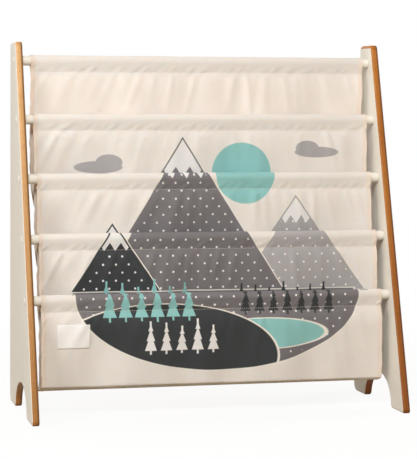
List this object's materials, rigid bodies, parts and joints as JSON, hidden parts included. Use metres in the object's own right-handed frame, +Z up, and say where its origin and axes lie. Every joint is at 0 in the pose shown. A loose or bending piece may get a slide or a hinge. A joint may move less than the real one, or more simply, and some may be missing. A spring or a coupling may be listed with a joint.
{
  "type": "sling bookshelf",
  "caption": "Low nursery bookshelf: two leaning painted side panels joined by round cross rods that carry nested fabric sling pockets, so picture books face forward.",
  "frame": {"origin": "on the floor, midway between the side panels and midway between the front and rear edges of their feet", "axes": "+Z up, +X to the right of someone facing the open front, -Y towards that person"},
  "size_m": [0.62, 0.2682, 0.6],
  "materials": {
    "painted_panel": "plywood panel, faces painted satin cream white, edges clear-lacquered wood",
    "painted_rod": "round hardwood rod painted satin cream white",
    "insert_brass": "bright machined",
    "bolt_steel": "bright zinc plated",
    "cap_plastic": "moulded, satin",
    "sling_canvas": "plain-weave polyester canvas, cream, with a printed landscape of greys, white and teal",
    "label_cloth": "plain woven label, bare"
  },
  "bodies": {
    "root": {"side_panel_left": "painted_panel", "side_panel_right": "painted_panel", "cross_rod_1": "painted_rod", "cross_rod_2": "painted_rod", "cross_rod_3": "painted_rod", "cross_rod_4": "painted_rod", "cross_rod_5": "painted_rod", "threaded_insert_left_1": "insert_brass", "threaded_insert_left_2": "insert_brass", "threaded_insert_left_3": "insert_brass", "threaded_insert_left_4": "insert_brass", "threaded_insert_left_5": "insert_brass", "panel_bolt_left_1": "bolt_steel", "panel_bolt_left_2": "bolt_steel", "panel_bolt_left_3": "bolt_steel", "panel_bolt_left_4": "bolt_steel", "panel_bolt_left_5": "bolt_steel", "cover_cap_left_1": "cap_plastic", "cover_cap_left_2": "cap_plastic", "cover_cap_left_3": "cap_plastic", "cover_cap_left_4": "cap_plastic", "cover_cap_left_5": "cap_plastic", "threaded_insert_right_1": "insert_brass", "threaded_insert_right_2": "insert_brass", "threaded_insert_right_3": "insert_brass", "threaded_insert_right_4": "insert_brass", "threaded_insert_right_5": "insert_brass", "panel_bolt_right_1": "bolt_steel", "panel_bolt_right_2": "bolt_steel", "panel_bolt_right_3": "bolt_steel", "panel_bolt_right_4": "bolt_steel", "panel_bolt_right_5": "bolt_steel", "cover_cap_right_1": "cap_plastic", "cover_cap_right_2": "cap_plastic", "cover_cap_right_3": "cap_plastic", "cover_cap_right_4": "cap_plastic", "cover_cap_right_5": "cap_plastic", "fabric_sling_1": "sling_canvas", "fabric_sling_2": "sling_canvas", "fabric_sling_3": "sling_canvas", "fabric_sling_4": "sling_canvas", "blank_label": "label_cloth"}
  },
  "joints": []
}
